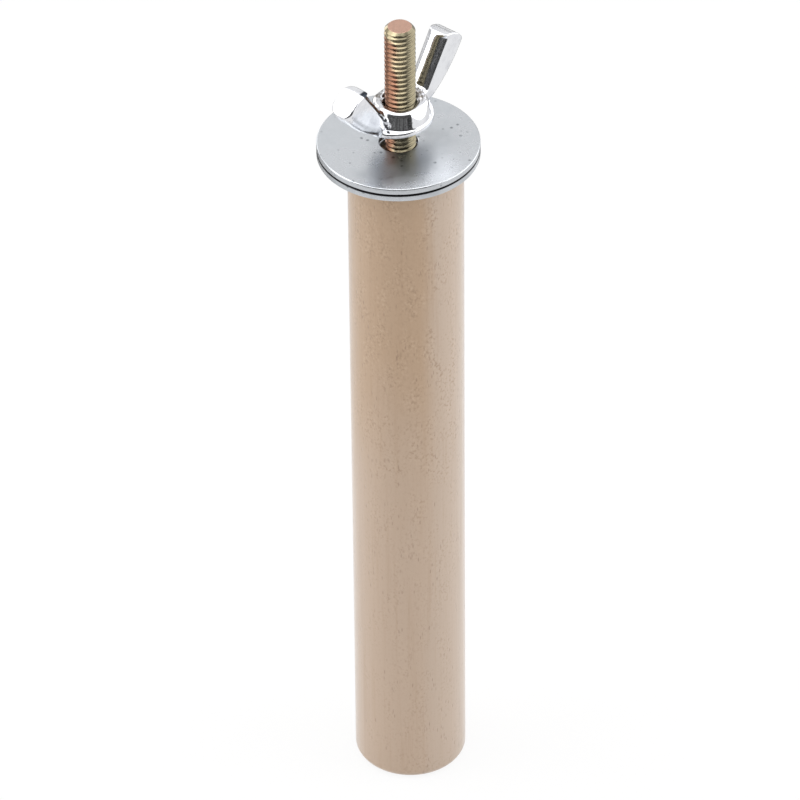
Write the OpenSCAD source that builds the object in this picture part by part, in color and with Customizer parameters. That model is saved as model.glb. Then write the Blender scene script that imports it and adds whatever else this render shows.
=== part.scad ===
// Bird perch: a wooden dowel on a hanger bolt, clamped through a cage wall
// between two washers by a wing nut.
// It stands on its free end with +Z up along the dowel. The origin is the
// middle of that end, and every length is in millimetres.

/* [Dowel] */
// Diameter of the wooden dowel
dowel_d = 15; // [12:0.5:20]
// Length of the wooden dowel
dowel_length = 100; // [60:5:200]
// Rounding of the edge of the free end
dowel_rounding = 1.2; // [0.4:0.1:3]
// Chamfer of the edge under the washers
dowel_chamfer = 0.3; // [0.1:0.1:1]

/* [Hanger bolt] */
// How far the bolt's axis lies from the dowel's middle, along X
bolt_offset_x = -0.6; // [-1.2:0.1:1.2]
// How far the bolt's axis lies from the dowel's middle, along Y
bolt_offset_y = -0.3; // [-1.2:0.1:1.2]
// Outer diameter of the machine thread
bolt_d = 4; // [3.6:0.1:4.1]
// Pitch of the machine thread
bolt_pitch = 0.7; // [0.6:0.05:0.8]
// Height of the bolt above the dowel's end
bolt_reach = 20; // [16:0.1:26]
// Length of machine thread that starts inside the dowel
bolt_thread_below = 2; // [1:0.1:4]
// Length of the plain shank between the two threads
shank_length = 2.5; // [1:0.1:5]
// Diameter of the plain shank
shank_d = 3.5; // [3.4:0.05:3.7]
// Length of the wood screw thread
wood_thread_length = 15.5; // [10:0.5:25]
// Outer diameter of the wood screw thread
wood_thread_d = 4; // [3.6:0.1:4.4]
// Core diameter of the wood screw thread
wood_core_d = 2.8; // [2.4:0.1:3.2]
// Pitch of the wood screw thread
wood_pitch = 1.6; // [1.4:0.1:2]
// Length over which the wood screw narrows to its point
point_length = 3.5; // [2:0.1:5]
// Diameter of the blunt point
point_d = 0.7; // [0.4:0.1:1]

/* [Washers] */
// Outer diameter of the washers
washer_d = 21; // [18:0.5:26]
// Diameter of the washers' hole
washer_hole_d = 5; // [4.9:0.05:5.3]
// Thickness of one washer
washer_thick = 0.9; // [0.6:0.1:1.6]
// Rounding of the washers' outer edges
washer_rounding = 0.2; // [0.1:0.05:0.25]
// How far the washers' middle lies from the bolt's axis, along X
washer_offset_x = -0.3; // [-0.3:0.05:0.3]
// How far the washers' middle lies from the bolt's axis, along Y
washer_offset_y = 0.3; // [-0.3:0.05:0.3]

/* [Wing nut] */
// Height of the nut's base above the upper washer
nut_gap = 3.7; // [2.4:0.1:6]
// Direction of the wings, counted from X towards Y, in degrees
wing_azimuth = 49.8; // [0:0.1:180]
// Distance between the outermost corners of the wings
wing_span = 22.3; // [20:0.1:26]
// Height of the wings' outer corners above the base
wing_outer_height = 6.6; // [5:0.1:8]
// Height of the wings' inner corners above the base
wing_inner_height = 9.1; // [8:0.1:11]
// Distance between the wings' inner corners
wing_mouth = 16.8; // [14:0.1:19]
// Distance between the wings where they rise from the hub
wing_root_span = 8.3; // [7.6:0.1:9]
// Distance between the wings' outer edges where they leave the flange
wing_foot_span = 12; // [11:0.1:13]
// Thickness of the wings at the hub
wing_root_thick = 2.7; // [2:0.1:3]
// Thickness of the wings at their ends
wing_end_thick = 3; // [2:0.1:3.4]
// Rounding of the wings' corners, seen from the side
wing_corner = 0.7; // [0.3:0.1:1]
// Rounding where the wings rise from the hub
wing_fillet = 1; // [0.4:0.1:1.5]
// Rounding of the wings' ends, seen from above
wing_end_rounding = 0.5; // [0.2:0.1:0.9]
// Length of the oval flange, along the wings
flange_length = 11.2; // [10.4:0.1:12]
// Width of the oval flange
flange_width = 7.4; // [7.2:0.1:8]
// Height of the flange
flange_height = 1.2; // [0.8:0.05:1.5]
// Rounding of the flange's rim
flange_rounding = 0.5; // [0.2:0.05:0.55]
// Diameter of the hub at its foot
hub_d = 7.1; // [6.9:0.05:7.2]
// Diameter of the hub below its rounded top
hub_top_d = 6.9; // [6.6:0.05:7]
// Height of the hub
hub_height = 3.6; // [3.3:0.1:4]
// Rounding of the hub's top
hub_rounding = 0.5; // [0.2:0.05:0.6]
// Diameter of the countersink in the hub's top
sink_d = 5.9; // [5:0.1:6]
// Diameter of the countersink in the hub's base
base_sink_d = 4.8; // [4.4:0.1:5]

/* [Fits] */
// Radial clearance between the nut's thread and the bolt's
thread_clearance = 0.1; // [0.06:0.01:0.14]
// Radial clearance of the bolt in the dowel
wood_clearance = 0.05; // [0.02:0.01:0.1]
// Depth of the drilled hole below the bolt's point
drill_allowance = 1.5; // [0.5:0.1:3]
// Gap between the two washers at rest
washer_play = 0.1; // [0.05:0.01:0.2]

/* [Hidden] */
// How far a cut runs past what it cuts
overrun = 1;
// Facets round one turn of a thread
turn_facets = 24;
// Half the angle between a machine thread's flanks
flank_angle = 30;
// Depth of the machine thread, as a share of its pitch
thread_depth_share = 0.6134;
// Width of the machine thread's crest, as a share of its pitch
crest_share = 0.125;
// Where the wood thread's profile turns, as [share of its pitch, share of its depth]
wood_thread_shares = [[0, 1], [0.2, 0], [0.3, 0], [0.5, 1]];

// The same for the machine thread: up one flank, along the crest and down the other
flank_share = thread_depth_share * tan(flank_angle);
machine_thread_shares = [
    [0, 1], [flank_share, 0], [flank_share + crest_share, 0], [2 * flank_share + crest_share, 1]
];

bolt_axis = [bolt_offset_x, bolt_offset_y, 0];
bolt_r = bolt_d / 2;
thread_depth = thread_depth_share * bolt_pitch;
bolt_top = dowel_length + bolt_reach;
machine_low = dowel_length - bolt_thread_below;
wood_high = machine_low - shank_length;
point_z = wood_high - wood_thread_length;
wood_thread_r = wood_thread_d / 2;
wood_depth = (wood_thread_d - wood_core_d) / 2;
upper_washer_z = dowel_length + washer_thick + washer_play;
nut_base = upper_washer_z + washer_thick + nut_gap;
nut_thread_low = machine_low + bolt_pitch * floor((nut_base - overrun - machine_low) / bolt_pitch);
nut_thread_high = nut_base + hub_height + overrun;

$fn = 96;

// Points [radius, height] up a thread's side, at a share of a turn round from its start.
// Below low and above high they stay on the core, so that the thread runs out there.
function thread_side(low, high, pitch, crest_r, depth, profile, turn_share) = [
    for (turn = [-1 : ceil((high - low) / pitch)])
        for (corner = profile)
            let (z = low + pitch * (turn + turn_share + corner[0]))
            z <= low ? [crest_r - depth, low]
            : z >= high ? [crest_r - depth, high]
            : [crest_r - depth * corner[1], z]
];

// How many points thread_side gives
function thread_count(low, high, pitch, profile) =
    (ceil((high - low) / pitch) + 2) * len(profile);

// The first of the equal points that lie in a row at this place in a side
function first_equal(side, place) =
    place > 0 && side[place] == side[place - 1] ? first_equal(side, place - 1) : place;

// One step round a thread shifts its points by one profile, within the thread's own stretch
function after_one_turn(place, stretches) =
    let (own = [for (s = stretches) if (place >= s[0] && place <= s[1]) s])
    len(own) == 0 ? place : min(place + own[0][2], own[0][1]);

// A closed solid from the sides at turn_facets places round the axis, where stretches gives
// the first place, last place and shift of each threaded stretch of a side.
module turned_sides(sides, stretches) {
    last = len(sides[0]) - 1;
    function vertex(step, place) =
        step < turn_facets
        ? step * (last + 1) + first_equal(sides[step], place)
        : first_equal(sides[0], after_one_turn(place, stretches));
    points = [
        for (step = [0 : turn_facets - 1])
            let (angle = 360 * step / turn_facets)
            for (p = sides[step]) [p[0] * cos(angle), p[0] * sin(angle), p[1]]
    ];
    walls = [
        for (step = [0 : turn_facets - 1])
            for (place = [0 : last - 1])
                let (
                    a = vertex(step, place),
                    b = vertex(step, place + 1),
                    c = vertex(step + 1, place + 1),
                    d = vertex(step + 1, place)
                )
                for (f = [[a, b, c], [a, c, d]])
                    if (f[0] != f[1] && f[1] != f[2] && f[2] != f[0]) f
    ];
    bottom = [for (step = [0 : turn_facets - 1]) vertex(step, 0)];
    top = [for (step = [turn_facets - 1 : -1 : 0]) vertex(step, last)];
    polyhedron(points = points, faces = concat(walls, [bottom, top]), convexity = 10);
}

// Radius of the wood screw at a height, narrowed towards its point and grown by a clearance
function narrowed(p, grow) =
    let (share = min(1, (p[1] - point_z) / point_length))
    [point_d / 2 + (p[0] - point_d / 2) * share + grow, p[1]];

// Radius of the machine thread at a height, within the chamfer of the bolt's top
function chamfered(p) = [min(p[0], bolt_r - thread_depth + bolt_top - p[1]), p[1]];

function wood_side(turn_share, grow) = [
    for (p = thread_side(
        point_z, wood_high, wood_pitch, wood_thread_r, wood_depth, wood_thread_shares, turn_share
    ))
        narrowed(p, grow)
];

function machine_side(turn_share) = [
    for (p = thread_side(
        machine_low, bolt_top, bolt_pitch, bolt_r, thread_depth, machine_thread_shares, turn_share
    ))
        chamfered(p)
];

module bolt_solid() {
    wood_count = thread_count(point_z, wood_high, wood_pitch, wood_thread_shares);
    machine_count = thread_count(machine_low, bolt_top, bolt_pitch, machine_thread_shares);
    shank = [[shank_d / 2, wood_high], [shank_d / 2, machine_low]];
    machine_start = wood_count + len(shank);
    sides = [
        for (step = [0 : turn_facets - 1])
            let (share = step / turn_facets)
            concat(wood_side(share, 0), shank, machine_side(share))
    ];
    turned_sides(sides, [
        [0, wood_count - 1, len(wood_thread_shares)],
        [machine_start, machine_start + machine_count - 1, len(machine_thread_shares)]
    ]);
}

// The hole that the bolt cuts in the dowel: its own thread, then a plain mouth
module bolt_hole() {
    wood_count = thread_count(point_z, wood_high, wood_pitch, wood_thread_shares);
    mouth_r = bolt_r + wood_clearance;
    shank_r = shank_d / 2 + wood_clearance;
    drill = [[point_d / 2 + wood_clearance, point_z - drill_allowance]];
    mouth = [
        [shank_r, wood_high],
        [shank_r, machine_low - wood_clearance],
        [mouth_r, machine_low - wood_clearance],
        [mouth_r, dowel_length + overrun]
    ];
    sides = [
        for (step = [0 : turn_facets - 1])
            concat(drill, wood_side(step / turn_facets, wood_clearance), mouth)
    ];
    turned_sides(sides, [[1, wood_count, len(wood_thread_shares)]]);
}

// The nut's thread, in step with the bolt's
module nut_thread() {
    count = thread_count(nut_thread_low, nut_thread_high, bolt_pitch, machine_thread_shares);
    sides = [
        for (step = [0 : turn_facets - 1])
            thread_side(
                nut_thread_low, nut_thread_high, bolt_pitch, bolt_r + thread_clearance,
                thread_depth, machine_thread_shares, step / turn_facets
            )
    ];
    turned_sides(sides, [[0, count - 1, len(machine_thread_shares)]]);
}

// Half section of the dowel: rounded at the free end, chamfered under the washers
module dowel_section() {
    r = dowel_d / 2;
    translate([0, dowel_rounding]) square([r, dowel_length - dowel_rounding - dowel_chamfer]);
    square([r - dowel_rounding, dowel_length]);
    translate([r - dowel_rounding, dowel_rounding]) circle(r = dowel_rounding);
    polygon([
        [0, dowel_length - dowel_chamfer],
        [r, dowel_length - dowel_chamfer],
        [r - dowel_chamfer, dowel_length],
        [0, dowel_length]
    ]);
}

// Half section of a washer, with its outer edges rounded
module washer_section() {
    hole_r = washer_hole_d / 2;
    outer_r = washer_d / 2;
    flat_width = outer_r - washer_rounding - hole_r;
    translate([hole_r, 0]) square([flat_width, washer_thick]);
    translate([hole_r, washer_rounding])
        square([outer_r - hole_r, washer_thick - 2 * washer_rounding]);
    for (z = [washer_rounding, washer_thick - washer_rounding])
        translate([outer_r - washer_rounding, z]) circle(r = washer_rounding);
}

// A washer that hangs off centre on the bolt, with its lower face at z
module washer(z) {
    translate(bolt_axis + [washer_offset_x, washer_offset_y, z])
        rotate_extrude() washer_section();
}

// Half section of a disc with a rounded rim
module disc_section(r, height, rounding) {
    square([r - rounding, height]);
    translate([0, rounding]) square([r, height - 2 * rounding]);
    for (z = [rounding, height - rounding])
        translate([r - rounding, z]) circle(r = rounding);
}

// The oval flange: what two large discs share, one on each side of the wings
module flange() {
    half_length = flange_length / 2;
    half_width = flange_width / 2;
    shift = (half_length * half_length - half_width * half_width) / flange_width;
    intersection_for (way = [-1, 1])
        translate([0, way * shift, 0])
            rotate_extrude() disc_section(half_width + shift, flange_height, flange_rounding);
}

// Half section of the hub: a slight cone with a rounded top
module hub_section() {
    foot_r = hub_d / 2;
    top_r = hub_top_d / 2;
    straight = hub_height - hub_rounding;
    polygon([[0, flange_rounding], [foot_r, flange_rounding], [top_r, straight], [0, straight]]);
    square([top_r - hub_rounding, hub_height]);
    translate([top_r - hub_rounding, straight]) circle(r = hub_rounding);
}

// Side view of both wings, rounded at their corners and where they rise from the hub
module wings_side() {
    inside = hub_top_d / 2 - hub_rounding;
    offset(r = -wing_fillet) offset(delta = wing_fillet)
        offset(r = wing_corner) offset(delta = -wing_corner)
            for (way = [-1, 1])
                polygon([
                    [0, flange_rounding],
                    [way * wing_foot_span / 2, flange_rounding],
                    [way * wing_span / 2, wing_outer_height],
                    [way * wing_mouth / 2, wing_inner_height],
                    [way * wing_root_span / 2, hub_height],
                    [way * inside, hub_height - hub_rounding],
                    [0, hub_height - hub_rounding]
                ]);
}

// The wings as seen from above, wider at their ends
module wings_plan() {
    offset(r = wing_end_rounding) offset(delta = -wing_end_rounding)
        for (way = [-1, 1])
            polygon([
                [0, -wing_root_thick / 2],
                [way * wing_span / 2, -wing_end_thick / 2],
                [way * wing_span / 2, wing_end_thick / 2],
                [0, wing_root_thick / 2]
            ]);
}

module wings() {
    intersection() {
        rotate([90, 0, 0])
            linear_extrude(height = wing_end_thick + overrun, center = true) wings_side();
        linear_extrude(height = wing_inner_height + overrun) wings_plan();
    }
}

// A cone that widens the nut's thread from a face at z, opening upwards or downwards
module countersink(z, d, way) {
    depth = d / 2 - bolt_r + thread_depth;
    translate([0, 0, z])
        scale([1, 1, way])
            translate([0, 0, -depth])
                cylinder(r1 = d / 2 - depth, r2 = d / 2 + overrun, h = depth + overrun);
}

module wood_rod() {
    color("#b79c84")
        difference() {
            rotate_extrude() dowel_section();
            translate(bolt_axis) bolt_hole();
        }
}

module hanger_bolt() {
    color("#b08d57")
        translate(bolt_axis) bolt_solid();
}

module lower_washer() {
    color("#9aa0a4") washer(dowel_length);
}

module upper_washer() {
    color("#9aa0a4") washer(upper_washer_z);
}

module wing_nut() {
    color("#d5d6d8")
        translate(bolt_axis)
            difference() {
                translate([0, 0, nut_base])
                    rotate([0, 0, wing_azimuth]) {
                        flange();
                        rotate_extrude() hub_section();
                        wings();
                    }
                nut_thread();
                countersink(nut_base + hub_height, sink_d, 1);
                countersink(nut_base, base_sink_d, -1);
            }
}

wood_rod();
hanger_bolt();
lower_washer();
upper_washer();
wing_nut();
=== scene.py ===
import logging
import math
from dataclasses import dataclass, replace
from enum import Enum
from typing import Callable, Sequence

import bmesh
import bpy
import numpy as np
from mathutils import Matrix, Vector


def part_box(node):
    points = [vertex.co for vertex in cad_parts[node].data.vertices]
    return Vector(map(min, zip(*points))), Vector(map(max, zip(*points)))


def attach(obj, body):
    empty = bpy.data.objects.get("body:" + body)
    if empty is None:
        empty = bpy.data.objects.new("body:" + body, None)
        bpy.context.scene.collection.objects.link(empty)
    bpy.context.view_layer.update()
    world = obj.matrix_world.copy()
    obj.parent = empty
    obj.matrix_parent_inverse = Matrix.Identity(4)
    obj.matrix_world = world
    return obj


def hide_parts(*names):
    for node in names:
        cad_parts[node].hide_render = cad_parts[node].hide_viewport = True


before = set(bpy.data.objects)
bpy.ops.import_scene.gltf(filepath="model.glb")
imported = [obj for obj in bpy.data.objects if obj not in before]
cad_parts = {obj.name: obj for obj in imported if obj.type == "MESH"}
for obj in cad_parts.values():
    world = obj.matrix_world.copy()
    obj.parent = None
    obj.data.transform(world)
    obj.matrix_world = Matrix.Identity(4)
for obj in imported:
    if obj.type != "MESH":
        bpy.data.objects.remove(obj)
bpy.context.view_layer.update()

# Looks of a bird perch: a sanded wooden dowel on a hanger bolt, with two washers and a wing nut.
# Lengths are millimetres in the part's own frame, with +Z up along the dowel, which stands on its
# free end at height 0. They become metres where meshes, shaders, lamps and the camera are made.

MM = 0.001
SAME_PLACE = 1e-8
log = logging.getLogger("perch")

# The middle range of a noise pattern, where most of its values lie
NOISE_RANGE = (0.3, 0.7)

# The threads, in millimetres and in shares of the pitch
MACHINE_PITCH = 0.7
MACHINE_DEPTH = 0.27
MACHINE_SOFTNESS = 0.2
MACHINE_SUNK = 2
CREST_SHARE = 0.125
FLANK_SHARE = 0.6134 * math.tan(math.radians(30))
WOOD_PITCH = 1.6
WOOD_DEPTH = 0.6
WOOD_CORNERS = (0, 0.2, 0.3, 0.5)
WOOD_SOFTNESS = 0.03
NUT_PLAY = 0.1

Rgb = tuple[float, float, float]
Point = tuple[float, float, float]
Pair = tuple[float, float]
Shaper = Callable[..., np.ndarray]
Socket = bpy.types.NodeSocket


class Body(Enum):
    """The moving bodies that the pieces ride on."""

    PERCH = "perch"
    LOWER_WASHER = "lower_washer"
    UPPER_WASHER = "upper_washer"
    WING_NUT = "wing_nut"


class Slot(Enum):
    """The material slots of the part's record."""

    WOOD = "sanded_wood"
    BOLT = "yellow_zinc"
    WASHER = "washer_steel"
    NUT = "bright_plating"


class Node(Enum):
    """The solids that the pieces stand for."""

    DOWEL = "wood_rod"
    BOLT = "hanger_bolt"
    LOWER_WASHER = "lower_washer"
    UPPER_WASHER = "upper_washer"
    WING_NUT = "wing_nut"


class Axis(Enum):
    """The directions of the part's own frame."""

    X = "X"
    Y = "Y"
    Z = "Z"


class Sum(Enum):
    """What a shader can work out from two numbers. SIZE takes the first one only."""

    ADD = "ADD"
    TAKE = "SUBTRACT"
    TIMES = "MULTIPLY"
    LARGER = "MAXIMUM"
    SIZE = "ABSOLUTE"


def from_screen(red: int, green: int, blue: int) -> Rgb:
    """Turns a screen colour into the linear one that shaders take.

    Args:
        red: Red from 0 to 255.
        green: Green from 0 to 255.
        blue: Blue from 0 to 255.

    Returns:
        The linear colour, from 0 to 1.
    """
    shares = (value / 255 for value in (red, green, blue))
    return tuple(s / 12.92 if s <= 0.04045 else ((s + 0.055) / 1.055) ** 2.4 for s in shares)


@dataclass(frozen=True)
class Ramp:
    """A smooth, clamped step: what runs from low to high comes to run from to_low to to_high."""

    low: float
    high: float
    to_low: float = 0
    to_high: float = 1


@dataclass(frozen=True)
class Grain:
    """A noise or cell pattern.

    Its fields are the grains per metre, the share of them per metre upwards, the octaves, the
    strength of each finer octave and how far the pattern distorts itself.
    """

    scale: float
    upward_share: float = 1
    detail: float = 2
    roughness: float = 0.5
    bend: float = 0


def swing(amount: float) -> Ramp:
    """Gives the ramp that turns noise into a swing to both sides of 0.

    Args:
        amount: How far it swings.

    Returns:
        The ramp.
    """
    return Ramp(*NOISE_RANGE, -amount, amount)


class ShaderSheet:
    """A new material and short calls that add nodes to it."""

    def __init__(self, name: str) -> None:
        """Makes an empty material.

        Args:
            name: The material's name.
        """
        self.material = bpy.data.materials.new(name)
        self.material.use_nodes = True
        self.tree = self.material.node_tree
        self.tree.nodes.clear()
        self.output = self.tree.nodes.new("ShaderNodeOutputMaterial")
        self.place = self.tree.nodes.new("ShaderNodeTexCoord").outputs["Object"]

    def feed(self, socket: Socket, value: object) -> None:
        """Links a socket to another node's output, or sets it to a plain value.

        Args:
            socket: The input to fill.
            value: An output socket, a number, a colour or a vector.
        """
        if isinstance(value, bpy.types.NodeSocket):
            self.tree.links.new(value, socket)
        elif isinstance(value, tuple) and len(value) == 3 and socket.type == "RGBA":
            socket.default_value = (*value, 1)
        else:
            socket.default_value = value

    def principled(self, **inputs: object) -> None:
        """Adds the main shader and links it to the output.

        Args:
            inputs: Its inputs by name, with spaces written as underscores.
        """
        shader = self.tree.nodes.new("ShaderNodeBsdfPrincipled")
        for name, value in inputs.items():
            self.feed(shader.inputs[name.replace("_", " ")], value)
        self.tree.links.new(shader.outputs["BSDF"], self.output.inputs["Surface"])

    def pattern(self, kind: str, grain: Grain) -> bpy.types.Node:
        """Adds a texture node, looked up at the object's own coordinates.

        Args:
            kind: The node's type.
            grain: The pattern's scale and stretch.

        Returns:
            The texture node.
        """
        mapping = self.tree.nodes.new("ShaderNodeMapping")
        mapping.inputs["Scale"].default_value = (1, 1, grain.upward_share)
        self.tree.links.new(self.place, mapping.inputs["Vector"])
        node = self.tree.nodes.new(kind)
        node.inputs["Scale"].default_value = grain.scale
        self.tree.links.new(mapping.outputs["Vector"], node.inputs["Vector"])
        return node

    def noise(self, grain: Grain) -> Socket:
        """Adds a noise texture.

        Args:
            grain: The pattern.

        Returns:
            The noise, from 0 to 1.
        """
        node = self.pattern("ShaderNodeTexNoise", grain)
        node.inputs["Detail"].default_value = grain.detail
        node.inputs["Roughness"].default_value = grain.roughness
        node.inputs["Distortion"].default_value = grain.bend
        return node.outputs[0]

    def cells(self, grain: Grain) -> Socket:
        """Adds a cell texture.

        Args:
            grain: The pattern, of which only the scale and the stretch count.

        Returns:
            The distance to the nearest cell's point.
        """
        return self.pattern("ShaderNodeTexVoronoi", grain).outputs["Distance"]

    def spread(self, value: Socket, ramp: Ramp) -> Socket:
        """Maps a range of a value to another, smoothly and clamped.

        Args:
            value: The value to map.
            ramp: The two ranges.

        Returns:
            The mapped value.
        """
        node = self.tree.nodes.new("ShaderNodeMapRange")
        node.interpolation_type = "SMOOTHSTEP"
        for index, number in enumerate((ramp.low, ramp.high, ramp.to_low, ramp.to_high), start=1):
            node.inputs[index].default_value = number
        self.tree.links.new(value, node.inputs[0])
        return node.outputs[0]

    def reach(self, length: Socket, ramp: Ramp) -> Socket:
        """Maps a length, smoothly and clamped.

        Args:
            length: The length in metres.
            ramp: The two ranges, the first in millimetres.

        Returns:
            The mapped value.
        """
        return self.spread(length, Ramp(ramp.low * MM, ramp.high * MM, ramp.to_low, ramp.to_high))

    def sum_of(self, operation: Sum, first: object, second: object) -> Socket:
        """Adds a node that works on two numbers.

        Args:
            operation: What it does.
            first: The first number or socket.
            second: The second number or socket.

        Returns:
            The result.
        """
        node = self.tree.nodes.new("ShaderNodeMath")
        node.operation = operation.value
        self.feed(node.inputs[0], first)
        self.feed(node.inputs[1], second)
        return node.outputs[0]

    def product(self, *values: object) -> Socket:
        """Multiplies two or more numbers.

        Args:
            values: Numbers or sockets.

        Returns:
            The product.
        """
        result = values[0]
        for value in values[1:]:
            result = self.sum_of(Sum.TIMES, result, value)
        return result

    def blend(self, share: object, first: object, second: object) -> Socket:
        """Mixes two colours.

        Args:
            share: How much of the second shows, from 0 to 1.
            first: The first colour or socket.
            second: The second colour or socket.

        Returns:
            The mixed colour.
        """
        node = self.tree.nodes.new("ShaderNodeMix")
        node.data_type = "RGBA"
        colours = [socket for socket in node.inputs if socket.type == "RGBA"]
        self.feed(node.inputs["Factor"], share)
        self.feed(colours[0], first)
        self.feed(colours[1], second)
        return next(socket for socket in node.outputs if socket.type == "RGBA")

    def bumps(self, height: Socket, depth: float, strength: float, over: Socket | None = None) -> Socket:
        """Turns a height into a bumped normal.

        Args:
            height: The height, from 0 to 1.
            depth: The height that 1 stands for, in millimetres.
            strength: How much of the bump is used.
            over: A normal to bump further.

        Returns:
            The normal output.
        """
        node = self.tree.nodes.new("ShaderNodeBump")
        node.inputs["Strength"].default_value = strength
        node.inputs["Distance"].default_value = depth * MM
        self.tree.links.new(height, node.inputs["Height"])
        if over is not None:
            self.tree.links.new(over, node.inputs["Normal"])
        return node.outputs["Normal"]

    def coordinate(self, axis: Axis) -> Socket:
        """Gives the object's own coordinate along an axis.

        Args:
            axis: The axis.

        Returns:
            The coordinate in metres.
        """
        parts = self.tree.nodes.new("ShaderNodeSeparateXYZ")
        self.tree.links.new(self.place, parts.inputs[0])
        return parts.outputs[axis.value]

    def axis_share(self, axis: Axis, low: float, high: float) -> Socket:
        """Gives how far a point lies along an axis, from 0 at low to 1 at high.

        Args:
            axis: The axis.
            low: Where it is 0, in millimetres.
            high: Where it is 1, in millimetres.

        Returns:
            The share, clamped and smoothed.
        """
        return self.reach(self.coordinate(axis), Ramp(low, high))

    def along(self, way: Point, start: Point) -> Socket:
        """Gives how far a point lies along a direction.

        Args:
            way: The direction, of length 1.
            start: Where the distance is 0, in millimetres.

        Returns:
            The distance in metres.
        """
        gap = self.tree.nodes.new("ShaderNodeVectorMath")
        gap.operation = "SUBTRACT"
        gap.inputs[1].default_value = tuple(value * MM for value in start)
        self.tree.links.new(self.place, gap.inputs[0])
        share = self.tree.nodes.new("ShaderNodeVectorMath")
        share.operation = "DOT_PRODUCT"
        share.inputs[1].default_value = way
        self.tree.links.new(gap.outputs[0], share.inputs[0])
        return share.outputs["Value"]

    def ring_share(self, middle: Point, start: float, end: float, outside: bool) -> Socket:
        """Gives how far a point lies from an upright line, stepped between two radii.

        Args:
            middle: A point of the line, in millimetres.
            start: The radius where the step starts, in millimetres.
            end: The radius where it ends.
            outside: Whether the share is 1 outside and 0 inside, or the other way round.

        Returns:
            The share, clamped and smoothed.
        """
        gaps = [
            self.sum_of(Sum.TAKE, self.coordinate(axis), value * MM)
            for axis, value in zip((Axis.X, Axis.Y), middle)
        ]
        across = self.sum_of(Sum.ADD, *(self.product(gap, gap) for gap in gaps))
        ends = (0, 1) if outside else (1, 0)
        return self.spread(across, Ramp((start * MM) ** 2, (end * MM) ** 2, *ends))


@dataclass(frozen=True)
class SandedWood:
    """Sanded, unvarnished hardwood with specks and pores, painted shade that makes it darker and warmer
    upwards, and a painted sheen that makes it greyer to the right.
    """

    pale: Rgb = from_screen(180, 158, 138)
    # Painted shade: the darker, warmer colour that the dowel turns to towards its top
    shaded_warm: Rgb = from_screen(174, 147, 120)
    streak: Rgb = from_screen(163, 136, 110)
    pore: Rgb = from_screen(120, 90, 70)
    # Painted sheen: the greyer colour of the dowel's right side
    painted_sheen: Rgb = from_screen(180, 161, 144)
    bright: Rgb = from_screen(203, 180, 156)
    speck: Rgb = from_screen(150, 124, 100)
    clouds: Grain = Grain(90, upward_share=0.25, detail=3)
    speckle: Grain = Grain(3300, upward_share=0.7)
    patches: Grain = Grain(420, upward_share=0.5)
    fibres: Grain = Grain(1400, upward_share=0.03, detail=4, roughness=0.65)
    pores: Grain = Grain(2400, upward_share=0.25)
    pore_fields: Grain = Grain(700, upward_share=0.3)
    upward_shade_heights: Pair = (20, 85)
    upward_shade_swing: float = 0.25
    upward_shade_step: Ramp = Ramp(0.1, 0.9)
    painted_sheen_places: Pair = (0, 5.5)
    painted_sheen_swing: float = 0.2
    painted_sheen_step: Ramp = Ramp(0.1, 0.9, 0, 0.9)
    patch_cover: Ramp = Ramp(0.4, 0.65, 0.2, 1)
    upward_cover: Ramp = Ramp(0, 1, 0.4, 0.85)
    dark_specks: Ramp = Ramp(0.54, 0.66, 0, 0.8)
    light_specks: Ramp = Ramp(0.46, 0.34, 0, 0.28)
    fibre_streaks: Ramp = Ramp(0.5, 0.78, 0, 0.3)
    pore_edge: Ramp = Ramp(0.12, 0.28, 1, 0)
    pore_cover: Ramp = Ramp(0.45, 0.62)
    pore_share: float = 0.35
    roughness: Ramp = Ramp(0.3, 0.7, 0.49, 0.63)
    shine: float = 0.5
    fuzz: float = 1.0
    fuzz_roughness: float = 0.35
    relief: float = 0.03
    relief_strength: float = 0.7

    def material(self) -> bpy.types.Material:
        """Builds the material.

        Returns:
            The material.
        """
        sheet = ShaderSheet("sanded_wood")
        clouds = sheet.noise(self.clouds)
        # Painted shade: the wood turns darker and warmer upwards
        height = sheet.axis_share(Axis.Z, *self.upward_shade_heights)
        upward_shade = sheet.sum_of(Sum.ADD, height, sheet.spread(clouds, swing(self.upward_shade_swing)))
        colour = sheet.blend(sheet.spread(upward_shade, self.upward_shade_step), self.pale, self.shaded_warm)
        # Painted sheen: the wood turns greyer towards the right
        side = sheet.axis_share(Axis.X, *self.painted_sheen_places)
        side = sheet.sum_of(Sum.ADD, side, sheet.spread(clouds, swing(self.painted_sheen_swing)))
        colour = sheet.blend(sheet.spread(side, self.painted_sheen_step), colour, self.painted_sheen)
        speckle = sheet.noise(self.speckle)
        cover = sheet.spread(sheet.noise(self.patches), self.patch_cover)
        cover = sheet.product(cover, sheet.spread(height, self.upward_cover))
        dark = sheet.product(sheet.spread(speckle, self.dark_specks), cover)
        light = sheet.product(sheet.spread(speckle, self.light_specks), cover)
        colour = sheet.blend(dark, colour, self.speck)
        colour = sheet.blend(light, colour, self.bright)
        fibres = sheet.noise(self.fibres)
        colour = sheet.blend(sheet.spread(fibres, self.fibre_streaks), colour, self.streak)
        pores = sheet.spread(sheet.cells(self.pores), self.pore_edge)
        pores = sheet.product(pores, sheet.spread(sheet.noise(self.pore_fields), self.pore_cover))
        colour = sheet.blend(sheet.product(pores, self.pore_share), colour, self.pore)
        surface = sheet.sum_of(Sum.TAKE, fibres, pores)
        sheet.principled(
            Base_Color=colour,
            Roughness=sheet.spread(fibres, self.roughness),
            Specular_IOR_Level=self.shine,
            Sheen_Weight=self.fuzz,
            Sheen_Roughness=self.fuzz_roughness,
            Normal=sheet.bumps(surface, self.relief, self.relief_strength),
        )
        return sheet.material


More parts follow.
